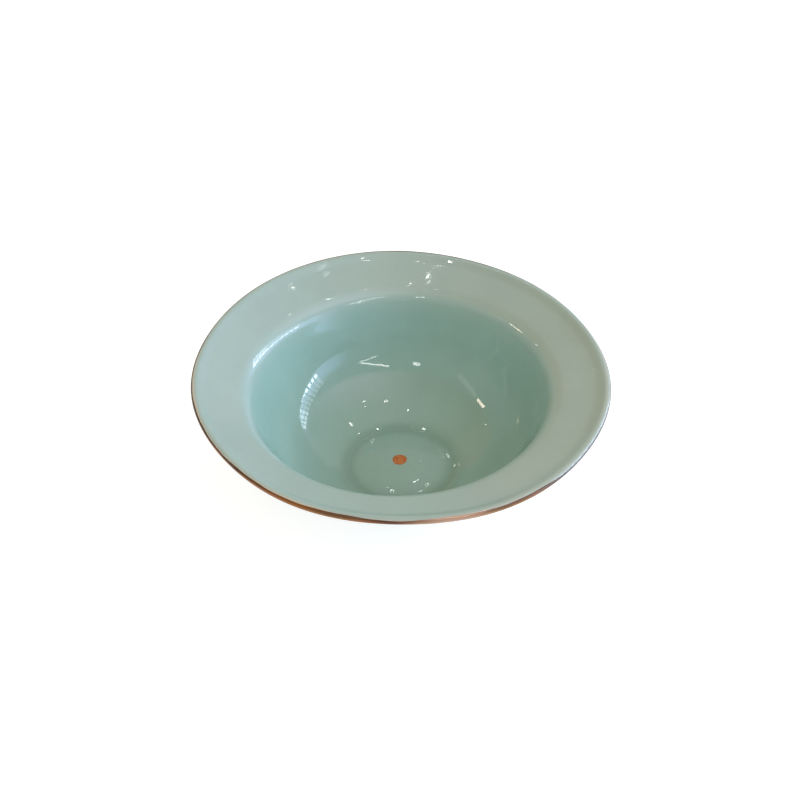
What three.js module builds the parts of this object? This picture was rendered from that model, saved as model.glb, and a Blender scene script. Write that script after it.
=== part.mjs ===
// A celadon soup bowl: a thrown stoneware body with a broad rim, the glaze coats that lie on it,
// a gilded lip and a painted dot in the middle of the floor. Millimetres, +Z up, standing on z = 0.
import * as THREE from "three";

// Finished size, over the glaze and the gilding
const lipDiameter = 220;
const bowlHeight = 74;

// Rim: a broad flange that climbs outwards, kicks up a little at a fold line and rolls over at the lip
const rimWidth = 27.6; // lip to the shoulder, where the rim turns down into the well
const rimRise = 9.6; // shoulder to the top of the lip
const foldInset = 6.4; // lip to the fold line
const foldDrop = 2.3; // fold line below the top of the lip
const foldFillet = 16;
const rollWidth = 2.3; // lip to the crest, where the kick ends and the lip rolls over
const rollFillet = 4;
const rimThickness = 2.1;
const lipThickness = 2;
const shoulderFillet = 13;

// Well: a steep wall that sweeps into the floor in one wide curve
const heelRadius = 61.4;
const heelRise = 9.8; // heel's corner above the top of the step round the sunk disc
const heelFillet = 56;
const wallThickness = 2;

// Floor: a sunk disc, slightly domed, inside a soft step
const floorHeight = 8.3; // clay floor at its centre, above the table
const floorThickness = 2.6; // under the slope between the sunk disc and the heel
const discRadius = 31; // middle of the step round the sunk disc
const stepWidth = 4.5;
const stepHeight = 1.4;
const stepFillet = 5;
const domeHeight = 0.5; // disc's centre above its edge

// Foot ring, turned from the same clay
const footRadius = 36;
const footWidth = 5;
const footHeight = 4.8;
const footFillet = 1.6;
const footEdge = 0.7; // rounding of the two edges that meet the table
const recessHeight = 3.6; // underside of the floor inside the ring, above the table

// Coats
const glazeThickness = 0.45;
const poolDepth = 0.5; // extra glaze where it gathers inside the step
const poolReach = 6; // how far from there the extra glaze thins out
const patchMargin = 4; // unglazed clay between the foot ring and the glaze in its recess
const gildingThickness = 0.2;
const dotRadius = 4;
const dotThickness = 0.2;
const dotBevel = 0.5;

// Facets
const turns = 44;
const chordError = 0.08; // most that a facet of an arc may lie off the arc
const edgeShare = 0.98; // most of an edge that the fillets at its two ends may take up

const lipRadius = lipDiameter / 2 - glazeThickness - gildingThickness;
const lipTop = bowlHeight - glazeThickness - gildingThickness;
const footInner = footRadius - footWidth;

const point = (r, z) => new THREE.Vector2(r, z);

// The line through two points, moved sideways: to the right of the way it runs.
function parallel(from, to, distance) {
  const along = to.clone().sub(from).normalize();
  const aside = point(along.y, -along.x).multiplyScalar(distance);
  return { at: from.clone().add(aside), along };
}

// Where two lines cross.
function crossing(first, second) {
  const gap = second.at.clone().sub(first.at);
  const reach = gap.cross(second.along) / first.along.cross(second.along);
  return first.at.clone().addScaledVector(first.along, reach);
}

// Rounds the corners of an outline with arcs. Each corner is {at, fillet, name}; the span of points
// that a named corner becomes is kept under its name. A fillet shrinks where its edges are too short.
function roundedOutline(corners) {
  const count = corners.length;
  const edges = corners.slice(1).map((corner, i) => corner.at.clone().sub(corners[i].at));
  const lengths = edges.map((edge) => edge.length());
  const turn = corners.map((_, i) => (i % (count - 1) ? edges[i - 1].angleTo(edges[i]) : 0));
  const wanted = corners.map((corner, i) => (corner.fillet ?? 0) * Math.tan(turn[i] / 2));
  const share = (edge) => Math.min(1, (edgeShare * lengths[edge]) / (wanted[edge] + wanted[edge + 1] || 1));
  const points = [];
  const spans = {};
  corners.forEach((corner, i) => {
    const first = points.length;
    const reach = wanted[i] ? wanted[i] * Math.min(share(i - 1), share(i)) : 0;
    points.push(...(reach ? cornerArc(corner.at, edges[i - 1], edges[i], turn[i], reach) : [corner.at]));
    if (corner.name) spans[corner.name] = { first, last: points.length - 1 };
  });
  return { points, spans };
}

// An arc that touches the edges into and out of a corner at the given reach from it.
function cornerArc(corner, edgeIn, edgeOut, turn, reach) {
  const side = Math.sign(edgeIn.cross(edgeOut));
  const radius = reach / Math.tan(turn / 2);
  const way = edgeIn.clone().normalize();
  const start = corner.clone().addScaledVector(way, -reach);
  const centre = start.clone().add(point(-way.y, way.x).multiplyScalar(side * radius));
  const steps = Math.ceil(turn / (2 * Math.acos(1 - Math.min(chordError / radius, 1))));
  return Array.from({ length: steps + 1 }, (_, k) =>
    start.clone().rotateAround(centre, (side * turn * k) / steps),
  );
}

// Each point of an outline moved outwards, square to the surface, by a depth that may vary.
function coatOver(outline, depthAt) {
  const last = outline.length - 1;
  return outline.map((here, i) => {
    const before = outline[Math.max(i - 1, 0)];
    const after = outline[Math.min(i + 1, last)];
    const into = here.clone().sub(before).normalize();
    const out = after.clone().sub(here).normalize();
    const normal = point(into.y + out.y, -into.x - out.x).normalize();
    if (here.x === 0) normal.set(0, Math.sign(normal.y));
    const miter = i % last ? 1 / normal.dot(point(out.y, -out.x)) : 1;
    return here.clone().addScaledVector(normal, depthAt(here, i) * miter);
  });
}

// The closed outline of a coat between the surface it lies on and its own face.
function coatOutline(under, face) {
  if (face.at(-1).x === 0) return [...under.toReversed(), ...face];
  if (face[0].x === 0) return [...face, ...under.toReversed()];
  return [...face, ...under.toReversed(), face[0].clone()];
}

// Clay section, from the middle of the base round the foot, up the outside, over the lip and down
// the inside to the middle of the floor.
function claySection() {
  const discEdge = point(discRadius - stepWidth / 2, floorHeight - domeHeight);
  const stepEdge = point(discRadius + stepWidth / 2, discEdge.y + stepHeight);
  const heel = point(heelRadius, stepEdge.y + heelRise);
  const shoulder = point(lipRadius - rimWidth, lipTop - rimRise);
  const fold = point(lipRadius - foldInset, lipTop - foldDrop);
  const lip = point(lipRadius, lipTop);
  const underRim = parallel(shoulder, fold, rimThickness);
  const underWall = parallel(heel, shoulder, wallThickness);
  const underFloor = parallel(stepEdge, heel, floorThickness);
  const outerHeel = crossing(underFloor, underWall);
  const footTop = point(footRadius, footHeight);
  const noseFillet = lipThickness / 2;
  return roundedOutline([
    { at: point(0, recessHeight) },
    { at: point(footInner - patchMargin, recessHeight), name: "patchEdge" },
    { at: point(footInner, recessHeight), fillet: footFillet },
    { at: point(footInner, 0), fillet: footEdge },
    { at: point(footRadius, 0), fillet: footEdge },
    { at: footTop, fillet: footFillet, name: "footTop" },
    { at: outerHeel, fillet: heelFillet + wallThickness },
    { at: crossing(underWall, underRim), fillet: Math.max(shoulderFillet - wallThickness, wallThickness) },
    { at: point(lip.x, lip.y - lipThickness), fillet: noseFillet, name: "lipUnder" },
    { at: point(lip.x, lip.y - lipThickness / 2), name: "lipMiddle" },
    { at: lip, fillet: noseFillet, name: "lipTop" },
    { at: point(lip.x - rollWidth, lip.y), fillet: rollFillet },
    { at: fold, fillet: foldFillet },
    { at: shoulder, fillet: shoulderFillet },
    { at: heel, fillet: heelFillet },
    { at: stepEdge, fillet: stepFillet },
    { at: discEdge, fillet: stepFillet },
    { at: point(dotRadius, floorHeight), name: "dotEdge" },
    { at: point(0, floorHeight) },
  ]);
}

// Glaze gathers inside the step of the floor and is even elsewhere.
function glazeDepth(here, i) {
  const inside = i > spans.lipMiddle.last;
  const fromPool = Math.abs(here.x - (discRadius - stepWidth / 2));
  return glazeThickness + (inside ? poolDepth * Math.max(0, 1 - fromPool / poolReach) : 0);
}

// A solid of revolution from an outline in (radius, height).
function turned(name, outline, material) {
  const geometry = new THREE.LatheGeometry(outline, turns).rotateX(Math.PI / 2);
  const mesh = new THREE.Mesh(geometry, material);
  mesh.name = name;
  return mesh;
}

const stoneware = new THREE.MeshStandardMaterial({ color: "#c2ae93", roughness: 0.85, metalness: 0 });
const celadon = new THREE.MeshStandardMaterial({ color: "#9dbdb0", roughness: 0.16, metalness: 0 });
const gold = new THREE.MeshStandardMaterial({ color: "#a8683c", roughness: 0.35, metalness: 0.8 });

const { points: clay, spans } = claySection();
const glaze = coatOver(clay, glazeDepth);
const gilding = coatOver(glaze, () => gildingThickness);
const floorCentre = clay.length - 1;

const stretch = (outline, from, to) => outline.slice(from, to + 1);
const coat = (under, face, from, to) => coatOutline(stretch(under, from, to), stretch(face, from, to));

const dotTop = glaze.at(-1).y + dotThickness;
const dotOutline = [
  glaze.at(-1),
  glaze[spans.dotEdge.first],
  point(dotRadius - dotBevel, dotTop),
  point(0, dotTop),
];

const bowl = new THREE.Group();
bowl.add(
  turned("clay_body", clay, stoneware),
  turned("inside_glaze", coat(clay, glaze, spans.lipMiddle.first, floorCentre), celadon),
  turned("outside_glaze", coat(clay, glaze, spans.footTop.last, spans.lipMiddle.first), celadon),
  turned("foot_well_glaze", coat(clay, glaze, 0, spans.patchEdge.first), celadon),
  turned("lip_gilding", coat(glaze, gilding, spans.lipUnder.first, spans.lipTop.last), gold),
  turned("centre_dot", dotOutline, gold),
);

export default bowl;
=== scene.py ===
"""A hand-thrown celadon soup bowl with a gilded lip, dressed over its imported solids.

Sections are worked out in millimetres and become metres in the meshes. The bowl stands on z = 0 with its
axis on +Z, and the photograph is taken from -Y.
"""

import bpy
import numpy as np
from mathutils import Matrix, Quaternion, Vector


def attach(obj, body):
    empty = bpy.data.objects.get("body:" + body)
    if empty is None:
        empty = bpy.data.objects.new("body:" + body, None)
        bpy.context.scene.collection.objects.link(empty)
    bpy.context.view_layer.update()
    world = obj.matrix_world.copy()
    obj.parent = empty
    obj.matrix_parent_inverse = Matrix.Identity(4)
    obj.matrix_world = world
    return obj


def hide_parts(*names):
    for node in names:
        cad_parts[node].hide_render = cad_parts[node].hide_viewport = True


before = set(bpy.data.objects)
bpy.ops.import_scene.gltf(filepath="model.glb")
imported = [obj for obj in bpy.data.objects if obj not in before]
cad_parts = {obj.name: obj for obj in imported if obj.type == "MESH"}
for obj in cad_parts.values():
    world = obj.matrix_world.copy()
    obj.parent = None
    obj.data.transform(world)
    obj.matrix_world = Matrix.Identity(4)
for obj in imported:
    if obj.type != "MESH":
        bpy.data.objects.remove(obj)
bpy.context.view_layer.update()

MM = 0.001
TINY = 1e-9

# Sizes of the clay, as in the solids
LIP_RADIUS = 109.35
LIP_TOP = 73.35
LIP_THICKNESS = 2
ROLL_WIDTH = 2.3  # lip to the crest, where the lip rolls over
ROLL_FILLET = 4
FOLD_INSET = 6.4  # lip to the fold line
FOLD_DROP = 2.3  # fold line below the top of the lip
FOLD_FILLET = 16
RIM_WIDTH = 27.6  # lip to the shoulder
RIM_RISE = 9.6  # shoulder to the top of the lip
RIM_THICKNESS = 2.1
SHOULDER_FILLET = 13
WALL_THICKNESS = 2
HEEL_RADIUS = 61.4
HEEL_RISE = 9.8  # heel's corner above the top of the step round the sunk disc
HEEL_FILLET = 56
FLOOR_HEIGHT = 8.3  # middle of the floor
FLOOR_THICKNESS = 2.6
DISC_RADIUS = 31  # middle of the step round the sunk disc
DISC_FALL = 0.5  # disc's edge below the middle of the floor
STEP_WIDTH = 4.5
STEP_HEIGHT = 1.4
STEP_FILLET = 5
FOOT_RADIUS = 36
FOOT_WIDTH = 5
FOOT_HEIGHT = 4.8
FOOT_FILLET = 1.6
FOOT_EDGE = 0.7  # rounding of the two edges that meet the table
RECESS_HEIGHT = 3.6
PATCH_MARGIN = 4  # bare clay between the foot ring and the glaze in its recess
EDGE_SHARE = 0.98  # most of an edge that the fillets at its two ends may take up

# The sunk disc is deeper here than in the solids, under a rounder dome
DISC_SINK = 1.7  # disc's edge and the step below those of the solids
DOME_CORNER = 14  # radius at which the dome's slope meets its level middle
DOME_FILLET = 175

# Coats
GLAZE = 0.45
POOL_RADIUS = DISC_RADIUS - STEP_WIDTH / 2  # where glaze gathers on the floor
POOL_REACH, POOL_DEPTH = 6, 0.5
GILDING = 0.2
DOT_RADIUS, DOT_THICKNESS = 4, 0.2
DOT_ASIDE = -0.6  # dot painted off the axis, towards -X

# Edges drawn by a brush: waves in a turn, then their height and phase
GILDING_LOW_EDGE = {3: (0.20, 0.6), 11: (0.12, 0.0), 37: (0.05, 1.0)}
GILDING_HIGH_EDGE = {4: (0.12, 2.1), 13: (0.08, 0.4), 41: (0.04, 0.0)}
DOT_EDGE = {2: (0.020, 0.8), 3: (0.014, 0.0), 7: (0.008, 0.0)}  # heights as shares of the radius

# Unevenness of a bowl made by hand
SHOULDER_TILT = 1.4  # shoulder higher at +X and lower at -X
LIP_TILT = -1.3  # lip lower at +X and higher at -X
SHOULDER_SKEW = 0.2  # shoulder drawn out towards +X +Y and -X -Y
WELL_SHIFT = (-0.7, 0.3)  # well set to one side of the lip
RING_SHIFT = -2.3  # step round the sunk disc set towards the front
SPIRAL_DEPTH, SPIRAL_PITCH = 0.025, 9.5  # finger marks in the wall
LIP_SPAN = (80, 109)  # radii between which the lip's unevenness grows and the shoulder's fades
WALL_SPAN = (46, 80)  # radii between which the shoulder's unevenness grows
RING_GROWS, RING_FADES = (6, 22), (38, 52)  # radii between which the ring's shift grows and fades
LIP_WAVES = {  # waves in a turn, then the cosine's and the sine's part in the lip's radius
    1: (0.11, 0.13),
    2: (0.02, -0.44),
    3: (0.29, -0.29),
    4: (0.1, 0.18),
    5: (-0.06, 0.07),
    6: (0.25, 0.02),
    7: (0.01, -0.22),
}

# Lamps, in metres and degrees
LAMP_DISTANCE = 1.5
LAMPS = {  # azimuth and elevation, width and height, radiance, tint, slant
    "tube_low": ((-60, 32.4), (0.40, 0.022), 11, (1.0, 0.98, 0.94), 9),
    "tube_high": ((-65, 41), (0.62, 0.05), 11, (1.0, 0.98, 0.94), -30),
    "tube_front": ((-108, 42), (0.14, 0.09), 11, (0.98, 1.0, 1.04), 0),
    "warm_lamp": ((171.5, 32.6), (0.27, 0.08), 13, (1.0, 0.82, 0.66), 23),
    "warm_wall": ((-166, 35), (0.60, 0.12), 0.9, (1.0, 0.88, 0.78), 0),
}
SPOT_RADIANCE, SPOT_TINT = 24, (1.0, 1.0, 0.96)
CEILING_SPOTS = {  # width in millimetres, then azimuth and elevation of each spot
    44: [(12, 72)],
    34: [(150, 31)],
    28: [(33, 82)],
    20: [(83, 53), (28, 72), (79, 61), (162, 79), (44, 61)],
    14: [(101, 61), (56, 63), (8.6, 81.8), (95.4, 58.4), (106.6, 79.3), (103.3, 77.5)],
    11: [(100, 68.5), (98, 71), (97, 56), (97, 63), (106, 41), (76.3, 54)],
    8: [(102, 69), (53.4, 63.6), (82, 42)],
    6: [(61.9, 69)],
}
PANE_WIDTH, PANE_HEIGHT, PANE_PITCH = 0.086, 0.085, 0.13
PANE_ROWS = (0.513, 0.628, 0.743, 0.858)  # heights of the panes' middles
PANE_COLUMNS = 11
FIRST_COLUMN = -0.27  # along Y
BACK_COLUMN = 7  # first of the columns whose upper panes are brighter
LOW_ROW_RADIANCE, UPPER_RADIANCE, BACK_RADIANCE = 15.0, 2.6, 6.5
DAYLIGHT_TINT = (0.86, 1.0, 1.1)

PHOTO_WIDTH = 800  # pixels


def smooth(x, low, high):
    """0 below low and 1 above high, with the smooth cubic 3t^2 - 2t^3 between."""
    t = np.clip((x - low) / (high - low), 0, 1)
    return t * t * (3 - 2 * t)


def parallel(start, stop, distance):
    """The line through two points, moved to the right of the way it runs: a point on it and its
    direction."""
    along = (stop - start) / np.hypot(*(stop - start))
    return start + distance * np.array([along[1], -along[0]]), along


def crossing(first, second):
    """Where two lines cross: along the first by (gap x second) / (first x second), with x the cross product
    of two directions and the gap that between the lines' points."""
    (here, along), (there, across) = first, second
    gap = there - here
    reach = (gap[0] * across[1] - gap[1] * across[0]) / (along[0] * across[1] - along[1] * across[0])
    return here + reach * along


def clay_corners():
    """Corners of the clay's section by name: radius, height and fillet. They run from the middle of the
    base round the foot, up the outside, over the lip and down the inside to the middle of the floor. The
    corners of the outside are where lines parallel to the inside of the solids cross, a thickness away
    from it."""
    disc_edge = np.array([DISC_RADIUS - STEP_WIDTH / 2, FLOOR_HEIGHT - DISC_FALL])
    step_edge = disc_edge + [STEP_WIDTH, STEP_HEIGHT]
    heel = np.array([HEEL_RADIUS, step_edge[1] + HEEL_RISE])
    shoulder = np.array([LIP_RADIUS - RIM_WIDTH, LIP_TOP - RIM_RISE])
    fold = np.array([LIP_RADIUS - FOLD_INSET, LIP_TOP - FOLD_DROP])
    under_floor = parallel(step_edge, heel, FLOOR_THICKNESS)
    under_wall = parallel(heel, shoulder, WALL_THICKNESS)
    under_rim = parallel(shoulder, fold, RIM_THICKNESS)
    foot_inside = FOOT_RADIUS - FOOT_WIDTH
    nose_fillet = LIP_THICKNESS / 2
    return {
        "base": (0, RECESS_HEIGHT, 0),
        "patch_edge": (foot_inside - PATCH_MARGIN, RECESS_HEIGHT, 0),
        "foot_inside": (foot_inside, RECESS_HEIGHT, FOOT_FILLET),
        "foot_inner_edge": (foot_inside, 0, FOOT_EDGE),
        "foot_outer_edge": (FOOT_RADIUS, 0, FOOT_EDGE),
        "foot_top": (FOOT_RADIUS, FOOT_HEIGHT, FOOT_FILLET),
        "outer_heel": (*crossing(under_floor, under_wall), HEEL_FILLET + WALL_THICKNESS),
        "under_shoulder": (*crossing(under_wall, under_rim), SHOULDER_FILLET - WALL_THICKNESS),
        "lip_under": (LIP_RADIUS, LIP_TOP - LIP_THICKNESS, nose_fillet),
        "lip_middle": (LIP_RADIUS, LIP_TOP - LIP_THICKNESS / 2, 0),
        "lip_top": (LIP_RADIUS, LIP_TOP, nose_fillet),
        "lip_crest": (LIP_RADIUS - ROLL_WIDTH, LIP_TOP, ROLL_FILLET),
        "fold": (*fold, FOLD_FILLET),
        "shoulder": (*shoulder, SHOULDER_FILLET),
        "heel": (*heel, HEEL_FILLET),
        "step_edge": (step_edge[0], step_edge[1] - DISC_SINK, STEP_FILLET),
        "disc_edge": (disc_edge[0], disc_edge[1] - DISC_SINK, STEP_FILLET),
        "dome": (DOME_CORNER, FLOOR_HEIGHT, DOME_FILLET),
        "floor": (0, FLOOR_HEIGHT, 0),
    }


def rounded(corners, arc_points=33):
    """Rounds each corner by the arc that touches both its edges at fillet * tan(turn / 2) from it, or less
    where the edges are too short. Gives the outline's points, the length up to each of them, and for each
    corner between the two ends the lengths at which its arc starts and stops."""
    at = np.array(list(corners.values()), float)
    edge = np.diff(at[:, :2], axis=0)
    length = np.hypot(*edge.T)
    way = edge / length[:, None]
    into, out = way[:-1], way[1:]
    turn = np.arctan2(into[:, 0] * out[:, 1] - into[:, 1] * out[:, 0], (into * out).sum(1))
    bevel = np.tan(np.abs(turn) / 2)
    wanted = np.pad(at[1:-1, 2] * bevel, 1)
    share = np.minimum(1, EDGE_SHARE * length / np.maximum(wanted[:-1] + wanted[1:], TINY))
    reach = wanted[1:-1] * np.minimum(share[:-1], share[1:])
    radius = np.sign(turn) * reach / np.maximum(bevel, TINY)
    start = at[1:-1, :2] - into * reach[:, None]
    aside = np.stack([-into[:, 1], into[:, 0]], 1) * radius[:, None]
    angle = (turn[:, None] * np.linspace(0, 1, arc_points))[..., None]
    spoke = -aside[:, None]
    across = np.stack([-spoke[..., 1], spoke[..., 0]], -1)
    arcs = (start + aside)[:, None] + np.cos(angle) * spoke + np.sin(angle) * across
    points = np.vstack([at[:1, :2], arcs.reshape(-1, 2), at[-1:, :2]])
    run = np.append(0, np.cumsum(np.hypot(*np.diff(points, axis=0).T)))
    ends = run[1:-1].reshape(-1, arc_points)[:, [0, -1]]
    return points, run, dict(zip(list(corners)[1:-1], ends))


class Section:
    """The bowl's section as functions of the length along the clay's outline."""

    def __init__(self, corners, places=7000, bend=18.0):
        """Takes the rounded outline at even steps, and the glaze and the gilding as that outline moved
        square to itself. The measure along it is the length plus a bend of so many millimetres for each
        radian."""
        points, run, self.ends = rounded(corners)
        self.length = np.linspace(0, run[-1], places)
        self.clay = np.stack([np.interp(self.length, run, points[:, k]) for k in (0, 1)], 1)
        inside = self.length > self.ends["lip_middle"][1]
        gathered = np.clip(1 - np.abs(self.clay[:, 0] - POOL_RADIUS) / POOL_REACH, 0, 1)
        depth = GLAZE + POOL_DEPTH * inside * smooth(gathered, 0, 1)
        self.glaze = self.coated(self.clay, depth)
        self.gilding = self.coated(self.glaze, np.full(places, GILDING))
        heading = np.unwrap(np.arctan2(*np.gradient(self.clay, axis=0).T[::-1]))
        steps = np.diff(self.length) + bend * np.abs(np.diff(heading))
        self.measure = np.append(0, np.cumsum(steps))

    @staticmethod
    def coated(outline, depth):
        """The outline moved by a depth to the right of the way it runs, and straight up or down on the
        axis."""
        way = np.gradient(outline, axis=0)
        normal = np.stack([way[:, 1], -way[:, 0]], 1)
        normal[[0, -1], 0] = 0
        return outline + normal / np.hypot(*normal.T)[:, None] * depth[:, None]

    def spread(self, first, last, count):
        """Places from one length to another, at even steps of the measure, so closer where the outline
        bends."""
        low, high = np.interp([first, last], self.length, self.measure)
        return np.interp(np.linspace(low, high, count), self.measure, self.length)

    def on(self, outline, places):
        """Radius and height of an outline at the given places, with the shape of the places."""
        return [np.interp(places, self.length, outline[:, k]) for k in (0, 1)]

    def floor_under(self, radius):
        """Height of the glaze on the sunk disc at a radius."""
        disc = self.glaze[self.length > self.ends["disc_edge"][1]]
        return np.interp(-radius, -disc[:, 0], disc[:, 1])


def thrown(radius, height, angle):
    """Where the hand-thrown bowl holds a point of the true section: the lip tilts one way and the shoulder
    the other, the shoulder is a little oval, the well and the ring on its floor are set to one side, the
    lip's radius is a sum of waves of under half a millimetre each, and the wall keeps the faint spiral of
    the thrower's fingers, a sine of the height plus the angle."""
    lipward = smooth(radius, *LIP_SPAN)
    shoulderward = smooth(radius, *WALL_SPAN) * (1 - lipward)
    ringward = smooth(radius, *RING_GROWS) * (1 - smooth(radius, *RING_FADES))
    lift = np.cos(angle) * (SHOULDER_TILT * shoulderward + LIP_TILT * lipward)
    waves = sum(a * np.cos(n * angle) + b * np.sin(n * angle) for n, (a, b) in LIP_WAVES.items())
    shift = WELL_SHIFT[0] * np.cos(angle) + WELL_SHIFT[1] * np.sin(angle)
    uneven = SHOULDER_SKEW * np.sin(2 * angle) + shift
    ring = RING_SHIFT * np.sin(angle)
    spiral = SPIRAL_DEPTH * shoulderward * np.sin(2 * np.pi * height / SPIRAL_PITCH + angle)
    wide = radius + waves * lipward + uneven * shoulderward + ring * ringward + spiral
    return np.stack(np.broadcast_arrays(wide * np.cos(angle), wide * np.sin(angle), height + lift), -1)


def turned(name, radius, height, turns, poles, crease=50):
    """A closed mesh from an outline turned about the axis: rows of points along the outline, each carried
    round in equal turns. With poles, the outline starts and ends on the axis, and its two end rows become
    one point each; without, its last row joins its first. Edges that turn by more degrees than the crease
    are sharp."""
    angle = np.linspace(0, 2 * np.pi, turns, endpoint=False)
    radius, height = (np.atleast_2d(np.asarray(a).T).T for a in (radius, height))
    points = thrown(radius, height, angle) * MM
    rows = len(points)
    index = np.arange(rows * turns).reshape(rows, turns)
    if poles:
        points = np.vstack([points[0, :1], points[1:-1].reshape(-1, 3), points[-1, :1]])
        index = index[: rows - 2] + 1
    here, there = (index[:-1], index[1:]) if poles else (index, np.roll(index, -1, 0))
    quads = np.stack([here, np.roll(here, -1, 1), np.roll(there, -1, 1), there], -1).reshape(-1, 4)
    faces = quads.tolist()
    if poles:
        last = np.full(turns, len(points) - 1)
        first = np.zeros(turns, int)
        faces += np.stack([first, np.roll(index[0], -1), index[0]], 1).tolist()
        faces += np.stack([index[-1], np.roll(index[-1], -1), last], 1).tolist()
    mesh = bpy.data.meshes.new(name)
    mesh.from_pydata(points.reshape(-1, 3), [], faces)
    mesh.shade_smooth()
    mesh.set_sharp_from_angle(angle=np.radians(crease))
    piece = bpy.data.objects.new(name, mesh)
    bpy.context.scene.collection.objects.link(piece)
    return piece


def coat(section, under_places, face_places, order):
    """Closed outline of a glaze coat: its face over the given places and its underside back along the
    clay. The order says which of the two comes first, so that a coat that meets the axis starts and ends
    there."""
    under = np.stack(section.on(section.clay, under_places), 1)[::-1]
    face = np.stack(section.on(section.glaze, face_places), 1)
    return np.vstack([under, face] if order == "under first" else [face, under]).T


def brushed_edge(angle, waves):
    """An edge drawn by a brush: the sum of height * sin(number * angle + phase) over its waves."""
    return sum(height * np.sin(number * angle + phase) for number, (height, phase) in waves.items())


def gilded_lip(section, turns, across=14):
    """The gold line: a brushed film over the nose of the lip, between two edges that wander with the angle.
    It is worn down to a thread on the right and narrows in a notch at the front, a bell of the cosine. Its
    thickness is that of the gilding times a flat-topped bump across the line."""
    angle = np.linspace(0, 2 * np.pi, turns, endpoint=False)
    worn = smooth(np.cos(angle + 0.07), 0.64, 0.8)
    notch = np.exp(-((np.cos(angle) + 0.03) / 0.16) ** 2) * (np.sin(angle) < 0)
    below = 0.25 - 0.8 * worn - 0.5 * notch
    above = 1.15 + 0.15 * np.sin(angle) - 0.2 * np.cos(2 * angle) - 0.55 * worn - 0.6 * notch
    first = section.ends["lip_under"][0] - below + brushed_edge(angle, GILDING_LOW_EDGE)
    last = section.ends["lip_top"][0] + above + brushed_edge(angle, GILDING_HIGH_EDGE)
    share = np.linspace(0, 1, across)[:, None]
    places = first + (last - first) * share
    film = 0.08 + 0.92 * (4 * share * (1 - share)) ** 0.35
    under, full = (np.stack(section.on(o, places)) for o in (section.glaze, section.gilding))
    face = under + (full - under) * film
    return np.concatenate([face, under[:, ::-1]], 1)


def painted_dot(section, turns, rings=12):
    """The dot: a disc of slightly uneven radius, set off the axis by a cosine of the angle. Its top rises
    from its edge as (1 - share^8) of its thickness, over an underside that lies on the glaze."""
    angle = np.linspace(0, 2 * np.pi, turns, endpoint=False)
    edge = DOT_RADIUS * (1 + brushed_edge(angle, DOT_EDGE)) + DOT_ASIDE * np.cos(angle)
    share = np.sin(np.linspace(0, np.pi / 2, rings))[:, None]
    radius = share * edge
    ground = section.floor_under(radius)
    top = ground + DOT_THICKNESS * (0.05 + 0.95 * (1 - share ** 8))
    return np.vstack([radius, radius[::-1]]), np.vstack([ground, top[::-1]])


section = Section(clay_corners())
foot_line = section.ends["foot_top"][1]
lip_line = section.ends["lip_middle"][0]
patch_line = section.ends["patch_edge"][0]
end = section.length[-1]
clay_places = section.spread(0, end, count=190)


def clay_between(first, last, apart=0.05):
    """The clay's own places between two lengths, with those lengths as ends, so that a coat sits on it.
    Places that are not so far apart from an end are left out."""
    within = (clay_places > first + apart) & (clay_places < last - apart)
    return np.concatenate([[first], clay_places[within], [last]])


well_places = section.spread(lip_line, end, count=210)
outer_places = section.spread(foot_line, lip_line, count=130)
patch_places = section.spread(0, patch_line, count=40)
well_outline = coat(section, clay_between(lip_line, end), well_places, "under first")
outer_outline = coat(section, clay_between(foot_line, lip_line), outer_places, "face first")
patch_outline = coat(section, clay_between(0, patch_line), patch_places, "face first")

bowl_clay = turned("bowl_clay", *section.on(section.clay, clay_places), turns=240, poles=True)
well_glaze = turned("well_and_rim_glaze", *well_outline, turns=320, poles=True)
outer_glaze = turned("outer_glaze", *outer_outline, turns=300, poles=False)
foot_glaze = turned("foot_recess_glaze", *patch_outline, turns=160, poles=True)
lip_gold = turned("lip_gold", *gilded_lip(section, turns=720), turns=720, poles=False)
floor_dot = turned("floor_dot", *painted_dot(section, turns=128), turns=128, poles=True)


class Wire:
    """A value on its way through a finish: arithmetic on it adds Math nodes."""

    def __init__(self, finish, socket):
        self.finish = finish
        self.socket = socket

    def math(self, operation, *values):
        return self.finish.node("ShaderNodeMath", {"operation": operation}, values)

    def __add__(self, other):
        return self.math("ADD", self, other)

    def __sub__(self, other):
        return self.math("SUBTRACT", self, other)

    def __rsub__(self, other):
        return self.math("SUBTRACT", other, self)

    def __mul__(self, other):
        return self.math("MULTIPLY", self, other)

    def __truediv__(self, other):
        return self.math("DIVIDE", self, other)

    def __pow__(self, other):
        return self.math("POWER", self, other)

    __radd__ = __add__
    __rmul__ = __mul__


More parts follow.
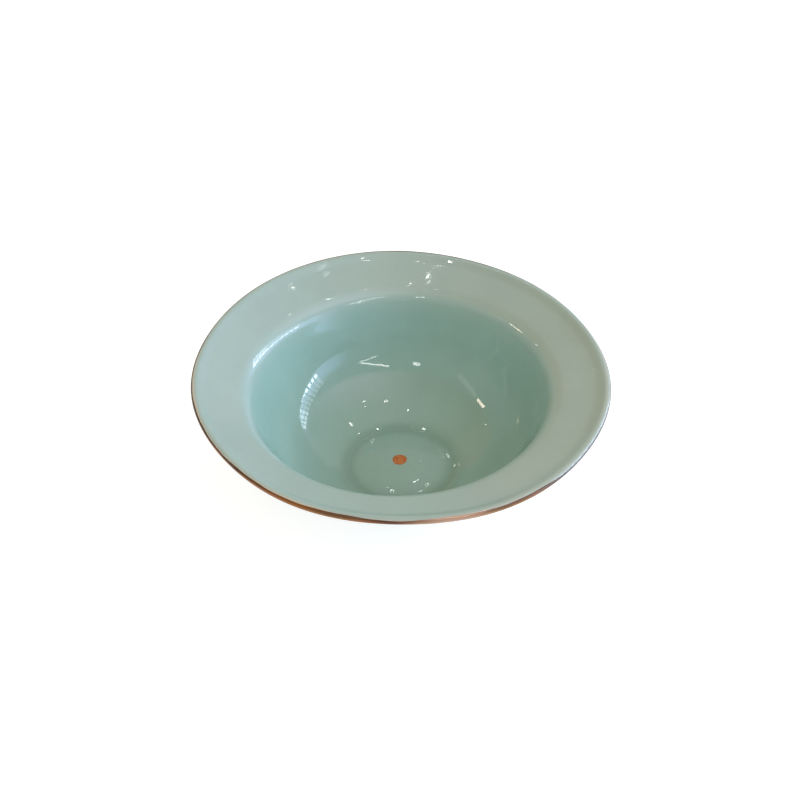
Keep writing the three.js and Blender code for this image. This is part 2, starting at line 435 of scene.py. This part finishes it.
class Finish:
    """A node tree under construction."""

    def __init__(self, tree):
        self.tree = tree
        tree.nodes.clear()

    def node(self, kind, settings=(), inputs=(), out=0):
        """Adds a node: its settings first, then the values or links of its inputs, in order or by name.
        Gives its output, or several when out names several."""
        made = self.tree.nodes.new(kind)
        for key, value in dict(settings).items():
            setattr(made, key, value)
        for key, value in inputs.items() if isinstance(inputs, dict) else enumerate(inputs):
            if isinstance(value, Wire):
                self.tree.links.new(value.socket, made.inputs[key])
            else:
                made.inputs[key].default_value = value
        if isinstance(out, tuple):
            return [Wire(self, made.outputs[o]) for o in out]
        return Wire(self, made.outputs[out]) if made.outputs else None

    def mix(self, factor, first, second, how="MIX"):
        """Two colours blended by a factor."""
        kind = {"data_type": "RGBA", "blend_type": how, "clamp_factor": True}
        return self.node("ShaderNodeMix", kind, {0: factor, 6: first, 7: second}, 2)

    def ramp(self, value, low, high, to_low=0.0, to_high=1.0):
        """A value eased from one range to another and held outside it."""
        kind = {"interpolation_type": "SMOOTHSTEP", "clamp": True}
        return self.node("ShaderNodeMapRange", kind, [value, low, high, to_low, to_high])

    def bell(self, value, centre, width):
        """exp(-((value - centre) / width)^2)"""
        off = (value - centre) / width
        return off.math("EXPONENT", 0.0 - off * off)

    def noise(self, vector, scale, detail=3.0, roughness=0.5):
        """Fractal noise about 0.5, at a scale in features per metre."""
        sockets = {"Vector": vector, "Scale": scale, "Detail": detail, "Roughness": roughness}
        return self.node("ShaderNodeTexNoise", {}, sockets, "Fac")

    def place(self):
        """Object coordinates: the vector, and in millimetres the distance from the axis and the height, and
        the direction round the axis as a cosine and a sine."""
        vector = self.node("ShaderNodeTexCoord", {}, {}, "Object")
        x, y, z = self.node("ShaderNodeSeparateXYZ", {}, [vector], ("X", "Y", "Z"))
        radius = (x * x + y * y) ** 0.5
        return vector, radius / MM, z / MM, x / radius, y / radius

    def principled(self, **sockets):
        inputs = {name.replace("_", " "): value for name, value in sockets.items()}
        return self.node("ShaderNodeBsdfPrincipled", {}, inputs)

    def bump(self, height, strength, distance):
        inputs = {"Strength": strength, "Distance": distance, "Height": height}
        return self.node("ShaderNodeBump", {}, inputs)

    def surface(self, shader):
        self.node("ShaderNodeOutputMaterial", {}, {"Surface": shader})


def new_finish(name):
    material = bpy.data.materials.new(name)
    material.use_nodes = True
    return material, Finish(material.node_tree)


def colour(red, green, blue):
    return (red, green, blue, 1.0)


GLAZE_IOR = 1.52
GATHERED_GLAZE = colour(0.200, 0.345, 0.275)


def glaze_waves(finish, vector, height, cosine, sine):
    """Slow waviness of a fired glaze: soft dimples and faint runs down the wall."""
    around = finish.node("ShaderNodeCombineXYZ", {}, [cosine * 0.04, sine * 0.04, height * 0.00012])
    dimples = finish.noise(vector, 55.0, 2.0)
    runs = finish.noise(around, 160.0, 2.0)
    return dimples, runs


def glaze_mottle(finish, vector):
    """Lighter and darker patches of a fired glaze, large clouds times a fine grain, about 1."""
    cloud = 0.94 + 0.12 * finish.noise(vector, 38.0, 4.0, 0.55)
    grain = 0.97 + 0.06 * finish.noise(vector, 420.0, 3.0, 0.6)
    return cloud * grain


def celadon_inside():
    """Grey-green glaze, pale where it is thin on the rim and the edges, deeper in the well and darkest
    where it gathers inside the step of the floor. The steep wall is a little lighter than the floor:
    painted light, making up for the light the wall lacks. The pale band round the shoulder is thin glaze,
    strengthened into a painted highlight along the edge where the shoulder hides the well. By the gilding
    it shows the clay, least at the back and on the right."""
    material, f = new_finish("celadon_inside")
    vector, radius, height, cosine, sine = f.place()
    dimples, runs = glaze_waves(f, vector, height, cosine, sine)
    drift = (dimples - 0.5) * 6.0
    on_rim = f.ramp(radius + drift, 75.0, 87.0)
    on_wall = f.ramp(radius + drift, 52.0, 66.0)
    # Painted light: the steep wall is a little lighter than the floor, making up for the light it lacks
    shade = f.mix(on_wall, colour(0.285, 0.450, 0.385), colour(0.312, 0.484, 0.424))
    shade = f.mix(on_rim, shade, colour(0.365, 0.468, 0.405))
    pooled = f.bell(radius - RING_SHIFT * sine + drift * 0.3, 29.5, 4.6)
    shade = f.mix(pooled * f.ramp(sine, 0.1, -0.8, 0.85, 1.0), shade, GATHERED_GLAZE)
    # Pale band round the shoulder: thin glaze, strengthened as a painted highlight along the edge where the
    # shoulder hides the well
    shade = f.mix(f.bell(radius, 81.5, 3.0) * 0.4, shade, colour(0.48, 0.58, 0.52))
    off_right = f.ramp(cosine, -0.1, 0.5, 0.55, 0.2)
    off_back = f.ramp(sine, 0.6, 0.1, 0.1, 1.0)
    thin = f.ramp(radius + drift * 0.15, 107.8, 108.9) * off_right * off_back
    shade = f.mix(thin, shade, colour(0.74, 0.60, 0.46))
    shade = f.mix(1.0, shade, glaze_mottle(f, vector) * (0.97 + 0.06 * runs), "MULTIPLY")
    gloss = 0.025 + 0.03 * f.noise(vector, 120.0, 2.0)
    calm_shoulder = 1.0 - 0.8 * f.bell(radius, 79.0, 5.0)
    normal = f.bump((dimples + 0.35 * runs) * calm_shoulder, 0.25, 0.0004)
    f.surface(f.principled(Base_Color=shade, Roughness=gloss, IOR=GLAZE_IOR, Normal=normal))
    return material


def celadon_outside():
    """The same glaze under the rim and down the outside: pale on the turn of the shoulder, thicker towards
    the foot, where it stops in a rolled edge."""
    material, f = new_finish("celadon_outside")
    vector, radius, height, cosine, sine = f.place()
    dimples, runs = glaze_waves(f, vector, height, cosine, sine)
    drift = (dimples - 0.5) * 6.0
    under_rim = f.ramp(radius + drift, 80.0, 92.0)
    shade = f.mix(under_rim, colour(0.290, 0.435, 0.372), colour(0.355, 0.462, 0.397))
    rolled = f.ramp(height + drift * 0.15, 9.5, 5.4)
    shade = f.mix(rolled * 0.6, shade, GATHERED_GLAZE)
    shade = f.mix(f.ramp(radius, 107.6, 109.3) * 0.5, shade, colour(0.46, 0.57, 0.51))
    shade = f.mix(1.0, shade, glaze_mottle(f, vector) * (0.95 + 0.10 * runs), "MULTIPLY")
    gloss = 0.06 + 0.06 * f.noise(vector, 120.0, 2.0)
    normal = f.bump(dimples + 0.5 * runs, 0.35, 0.0004)
    f.surface(f.principled(Base_Color=shade, Roughness=gloss, IOR=GLAZE_IOR, Normal=normal))
    return material


def celadon_foot():
    """The glaze patch in the foot ring: brushed on thinly, uneven, with a dry rim."""
    material, f = new_finish("celadon_foot_recess")
    vector, radius, *_ = f.place()
    brushed = f.noise(vector, 70.0, 4.0, 0.6)
    shade = f.mix(brushed, colour(0.275, 0.405, 0.345), colour(0.370, 0.465, 0.400))
    dry = f.ramp(radius + (brushed - 0.5) * 5.0, 22.5, 27.0)
    shade = f.mix(dry * 0.7, shade, colour(0.50, 0.47, 0.38))
    gloss = 0.10 + 0.25 * dry + 0.08 * brushed
    normal = f.bump(brushed, 0.5, 0.0004)
    f.surface(f.principled(Base_Color=shade, Roughness=gloss, IOR=GLAZE_IOR, Normal=normal))
    return material


def bare_stoneware():
    """Buff fired clay, sandy, with turning lines round the foot and a rusty flash along the glaze."""
    material, f = new_finish("bare_stoneware")
    vector, radius, height, *_ = f.place()
    sand = f.noise(vector, 900.0, 4.0, 0.7)
    cloud = f.noise(vector, 60.0, 3.0)
    shade = f.mix(cloud, colour(0.50, 0.40, 0.285), colour(0.62, 0.52, 0.40))
    specks = f.ramp(f.noise(vector, 1500.0, 1.0), 0.66, 0.74)
    shade = f.mix(specks * 0.5, shade, colour(0.20, 0.12, 0.07))
    wander = (cloud - 0.5) * 3.0
    flash = f.bell(height + wander, 5.0, 1.1) + f.bell(radius + wander, 28.0, 1.4)
    shade = f.mix(flash * 0.6, shade, colour(0.40, 0.19, 0.085))
    turning = height * 9.0 + radius * 5.0 + cloud * 4.0
    lines = turning.math("SINE", turning)
    normal = f.bump(sand + 0.15 * lines, 0.45, 0.0003)
    f.surface(f.principled(Base_Color=shade, Roughness=0.72 + 0.2 * sand, IOR=1.5, Normal=normal))
    return material


def lip_lustre():
    """Brushed copper-gold lustre: dark brown over the top of the lip and orange below. Round the front it
    changes from orange through a dark red to a pale pink, the pink a painted highlight. On the right, where
    the line is worn to a thread, it is a brownish grey: painted light, for how the light there changes its
    look. Streaks are drawn out along the line."""
    material, f = new_finish("lip_lustre")
    vector, _, height, cosine, sine = f.place()
    drawn = f.node("ShaderNodeCombineXYZ", {}, [cosine * 0.11, sine * 0.11, height * 0.004])
    streaks = f.noise(drawn, 260.0, 3.0, 0.6)
    patches = f.noise(vector, 45.0, 3.0)
    level = height - LIP_TILT * cosine
    upper = f.ramp(level + (patches - 0.5) * 3.0 + (streaks - 0.5) * 1.2, 71.9, 73.3)
    dark = f.mix(f.ramp(cosine, -0.8, -0.5), colour(0.085, 0.045, 0.024), colour(0.180, 0.092, 0.048))
    dark = f.mix(f.ramp(sine, -0.4, 0.2), dark, colour(0.150, 0.125, 0.100))
    bright = f.mix(f.ramp(patches, 0.40, 0.62), colour(0.42, 0.160, 0.055), colour(0.46, 0.235, 0.060))
    shade = f.mix(upper, bright, dark)
    front = f.ramp(sine, -0.4, -0.7)
    along = cosine + (patches - 0.5) * 0.2
    shade = f.mix(front * f.bell(along, -0.47, 0.13) * 0.7, shade, colour(0.34, 0.130, 0.028))
    shade = f.mix(front * f.bell(along, -0.05, 0.12) * 0.85, shade, colour(0.100, 0.032, 0.018))
    # Painted highlight: pale pink at the front right, standing in for reflections on the lustre
    shade = f.mix(front * f.bell(along, 0.23, 0.15) * 0.85, shade, colour(0.60, 0.380, 0.265))
    # Painted light on the right: a brownish grey standing in for how the light there changes the lustre's
    # look
    shade = f.mix(f.ramp(cosine, 0.50, 0.75), shade, colour(0.130, 0.108, 0.090))
    gloss = 0.03 + 0.18 * streaks
    normal = f.bump(streaks, 0.3, 0.0001)
    metal = {"Metallic": 0.35, "Specular_IOR_Level": 0.3}
    f.surface(f.principled(Base_Color=shade, Roughness=gloss, Normal=normal, **metal))
    return material


def dot_lustre():
    """The same lustre dabbed on the floor: orange brown, uneven where the brush was turned and lifted."""
    material, f = new_finish("dot_lustre")
    vector, radius, *_ = f.place()
    dabbed = f.noise(vector, 420.0, 3.0, 0.6)
    grain = f.noise(vector, 2600.0, 2.0, 0.6)
    worn = f.ramp(dabbed + 0.25 * (grain - 0.5), 0.36, 0.66)
    shade = f.mix(worn, colour(0.42, 0.120, 0.024), colour(0.60, 0.215, 0.055))
    shade = f.mix(f.ramp(radius, 3.2, 4.1) * 0.35, shade, colour(0.30, 0.100, 0.035))
    gloss = 0.42 + 0.16 * grain
    normal = f.bump(dabbed + 0.4 * grain, 0.3, 0.0001)
    f.surface(f.principled(Base_Color=shade, Metallic=0.15, Roughness=gloss, Normal=normal))
    return material


def white_table():
    """A pale table that keeps a faint shadow: a grey diffuse, and a white of its own on top of it for the
    camera and for reflections."""
    material, f = new_finish("white_table")
    rays = ("Is Camera Ray", "Is Glossy Ray", "Is Transmission Ray")
    seen, shiny, through = f.node("ShaderNodeLightPath", {}, {}, rays)
    showing = seen.math("MAXIMUM", seen.math("MAXIMUM", seen, shiny), through)
    matt = f.node("ShaderNodeBsdfDiffuse", {}, {"Color": colour(0.5, 0.5, 0.5)})
    white = f.node("ShaderNodeEmission", {}, {"Color": colour(1, 1, 1), "Strength": showing * 0.8})
    f.surface(f.node("ShaderNodeAddShader", {}, [matt, white]))
    return material


def soft_room():
    """White to the camera; to everything else a room with dim walls, a ceiling above a slanting edge, warm
    on the left and brightest at the front right, and the low cool glow of daylight on the right."""
    world = bpy.data.worlds.new("soft_room")
    world.use_nodes = True
    bpy.context.scene.world = world
    f = Finish(world.node_tree)
    seen, through = f.node("ShaderNodeLightPath", {}, {}, ("Is Camera Ray", "Is Transmission Ray"))
    direction = f.node("ShaderNodeTexCoord", {}, {}, "Generated")
    x, y, z = f.node("ShaderNodeSeparateXYZ", {}, [direction], ("X", "Y", "Z"))
    right = f.mix(f.ramp(y, -0.5, 0.5), colour(1.87, 1.58, 1.79), colour(0.72, 0.79, 0.78))
    ceiling = f.mix(f.ramp(x, -0.5, 0.5), colour(0.55, 0.36, 0.18), right)
    room = f.mix(f.ramp(z + 0.3 * y, 0.51, 0.61), colour(0.42, 0.53, 0.50), ceiling)
    to_right = x / (x * x + y * y + 0.0001) ** 0.5
    daylight = f.ramp(to_right, 0.62, 0.99) * f.ramp(z, 0.50, 0.34)
    room = f.mix(daylight, room, colour(1.5, 2.1, 3.7), "ADD")
    shown = f.mix(seen.math("MAXIMUM", seen, through), room, colour(1, 1, 1))
    back = f.node("ShaderNodeBackground", {}, {"Color": shown, "Strength": 1.0})
    f.node("ShaderNodeOutputWorld", {}, {"Surface": back})


def toward(azimuth, elevation):
    """A lamp's place: azimuth in degrees from +X towards +Y, elevation above the table."""
    turn, rise = np.radians([azimuth, elevation])
    way = Vector((np.cos(rise) * np.cos(turn), np.cos(rise) * np.sin(turn), np.sin(rise)))
    return way * LAMP_DISTANCE


def panel(name, place, width, height, radiance, tint, slant=0.0):
    """A rectangular lamp at a place, facing the bowl, as bright as its radiance and turned by its slant."""
    lamp = bpy.data.lights.new(name, "AREA")
    lamp.shape = "RECTANGLE"
    lamp.size, lamp.size_y = width, height
    lamp.energy = radiance * np.pi * width * height
    lamp.color = tint
    holder = bpy.data.objects.new(name, lamp)
    holder.location = place
    bowl_middle = Vector((0, 0, 0.04))
    facing = (bowl_middle - Vector(place)).to_track_quat("-Z", "Y")
    holder.rotation_euler = (facing @ Quaternion((0, 0, 1), np.radians(slant))).to_euler()
    holder.visible_camera = False
    bpy.context.scene.collection.objects.link(holder)


def paned_window():
    """Daylight from the right: a bright low row of panes, and dimmer rows above it that brighten to the
    back."""
    for column in range(PANE_COLUMNS):
        upper = BACK_RADIANCE if column >= BACK_COLUMN else UPPER_RADIANCE
        for row, height in enumerate(PANE_ROWS):
            place = (LAMP_DISTANCE, FIRST_COLUMN + PANE_PITCH * column, height)
            radiance = upper if row else LOW_ROW_RADIANCE
            panel(f"pane_{column}_{row}", place, PANE_WIDTH, PANE_HEIGHT, radiance, DAYLIGHT_TINT)


def table_top(half=4.0, under=0.0001):
    """A square sheet just under the foot."""
    corners = np.array([(-1, -1), (1, -1), (1, 1), (-1, 1)], float) * half
    mesh = bpy.data.meshes.new("table_top")
    mesh.from_pydata(np.column_stack([corners, np.full(4, -under)]), [], [(0, 1, 2, 3)])
    sheet = bpy.data.objects.new("table_top", mesh)
    bpy.context.scene.collection.objects.link(sheet)
    return sheet


def photo_camera(
    lip_height=73, distance=0.715, elevation=40.21, lens=60.83, sensor=36.0,
    aside=0.535, above=28.03, roll=-0.25,
):
    """The photograph's camera: at a distance and elevation from the middle of the lip, looking a little
    below it, so that the lip's middle stands so many pixels aside from and above the middle of the
    photograph."""
    pixels = lens / sensor * PHOTO_WIDTH
    lip_middle = Vector((0, 0, lip_height * MM))
    rise = np.radians(elevation)
    eye = lip_middle + distance * Vector((0, -np.cos(rise), np.sin(rise)))
    sight = Matrix.Rotation(-rise - np.arctan(above / pixels), 3, "X") @ Vector((0, 1, 0))
    sight = Matrix.Rotation(np.arctan(aside / pixels) / np.cos(rise), 3, "Z") @ sight
    right = sight.cross(Vector((0, 0, 1))).normalized()
    up = right.cross(sight)
    lean = Matrix.Rotation(np.radians(-roll), 3, sight)
    right, up = lean @ right, lean @ up
    camera = bpy.data.cameras.new("photo_camera")
    camera.lens, camera.sensor_width = lens, sensor
    holder = bpy.data.objects.new("photo_camera", camera)
    axes = Matrix((right, up, -sight)).transposed().to_4x4()
    holder.matrix_world = Matrix.Translation(eye) @ axes
    bpy.context.scene.collection.objects.link(holder)
    bpy.context.scene.camera = holder


dressing = [
    (bowl_clay, "clay_body", "stoneware", bare_stoneware()),
    (well_glaze, "inside_glaze", "celadon_glaze", celadon_inside()),
    (outer_glaze, "outside_glaze", "celadon_glaze", celadon_outside()),
    (foot_glaze, "foot_well_glaze", "celadon_glaze", celadon_foot()),
    (lip_gold, "lip_gilding", "copper_gold", lip_lustre()),
    (floor_dot, "centre_dot", "copper_gold", dot_lustre()),
]
for piece, node, slot, finish in dressing:
    piece.data.materials.append(finish)
    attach(piece, "root")
    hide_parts(node)

table = table_top()
table.data.materials.append(white_table())

soft_room()
paned_window()
for name, (way, size, radiance, tint, slant) in LAMPS.items():
    panel(name, toward(*way), *size, radiance, tint, slant)
for width, ways in CEILING_SPOTS.items():
    for number, way in enumerate(ways):
        panel(f"spot_{width}_{number}", toward(*way), width * MM, width * MM, SPOT_RADIANCE, SPOT_TINT)
photo_camera()

scene = bpy.context.scene
scene.view_settings.view_transform = "Standard"
